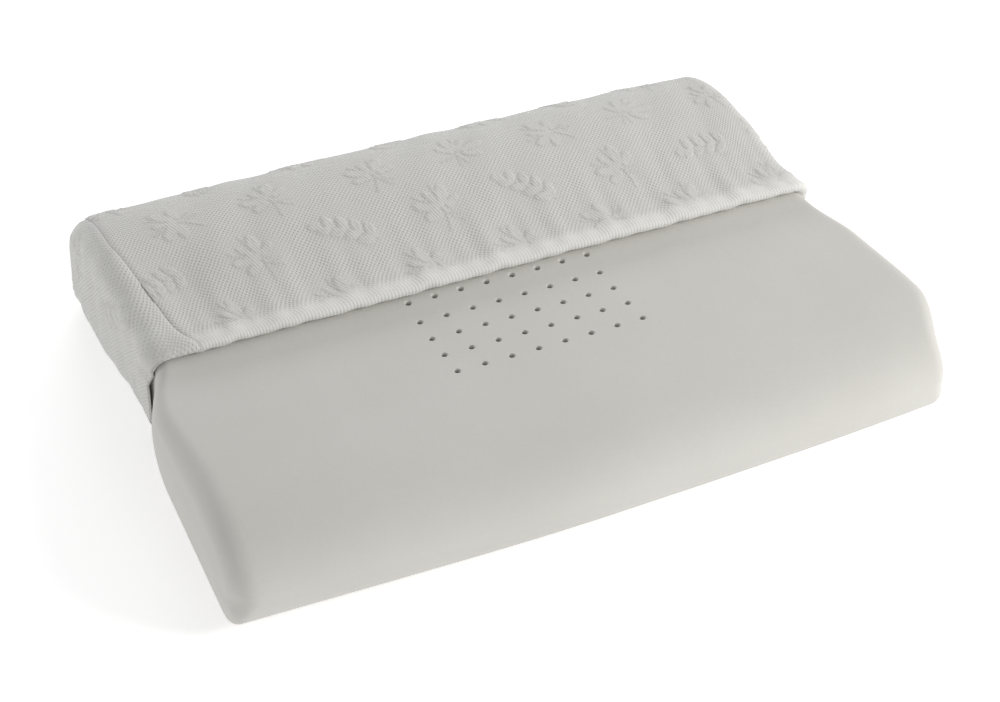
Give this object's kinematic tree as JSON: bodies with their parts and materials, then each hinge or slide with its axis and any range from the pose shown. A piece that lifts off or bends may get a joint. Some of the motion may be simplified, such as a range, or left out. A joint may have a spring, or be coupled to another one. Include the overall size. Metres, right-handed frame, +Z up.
{
  "type": "bed pillow",
  "caption": "Contoured foam bed pillow with a low front lobe, a high back lobe, vent channels and a knitted cover drawn back over its back half.",
  "frame": {"origin": "middle of the bottom of the whole pillow's bounding box, on the surface it lies on", "axes": "+X along the pillow, +Y towards the high back lobe, +Z up"},
  "size_m": [0.6096, 0.4268, 0.1058],
  "materials": {
    "foam": "matte open-cell foam",
    "knitted_cloth": "jacquard knit",
    "thread": "spun thread",
    "webbing": "woven tape",
    "nylon": "satin",
    "zip_metal": "satin"
  },
  "bodies": {
    "core": {"foam_core": "foam"},
    "cover": {"cover_top_panel": "knitted_cloth", "cover_bottom_panel": "knitted_cloth", "cover_back_panel": "knitted_cloth", "cover_left_end_panel": "knitted_cloth", "cover_right_end_panel": "knitted_cloth", "left_end_seam": "thread", "right_end_seam": "thread", "upper_back_seam": "thread", "lower_back_seam": "thread", "zip_upper_tape": "webbing", "zip_lower_tape": "webbing", "zip_upper_coil": "nylon", "zip_lower_coil": "nylon", "zip_upper_stop": "nylon", "zip_lower_stop": "nylon", "zip_slider": "zip_metal", "zip_pull": "zip_metal"}
  },
  "joints": [
    {"name": "cover_pull_off", "type": "slide", "parent": "core", "child": "cover", "axis": [0, 1, 0], "range_m": [0, 0.22], "deforming": ["cover_top_panel", "cover_bottom_panel", "cover_left_end_panel", "cover_right_end_panel", "left_end_seam", "right_end_seam"]}
  ]
}
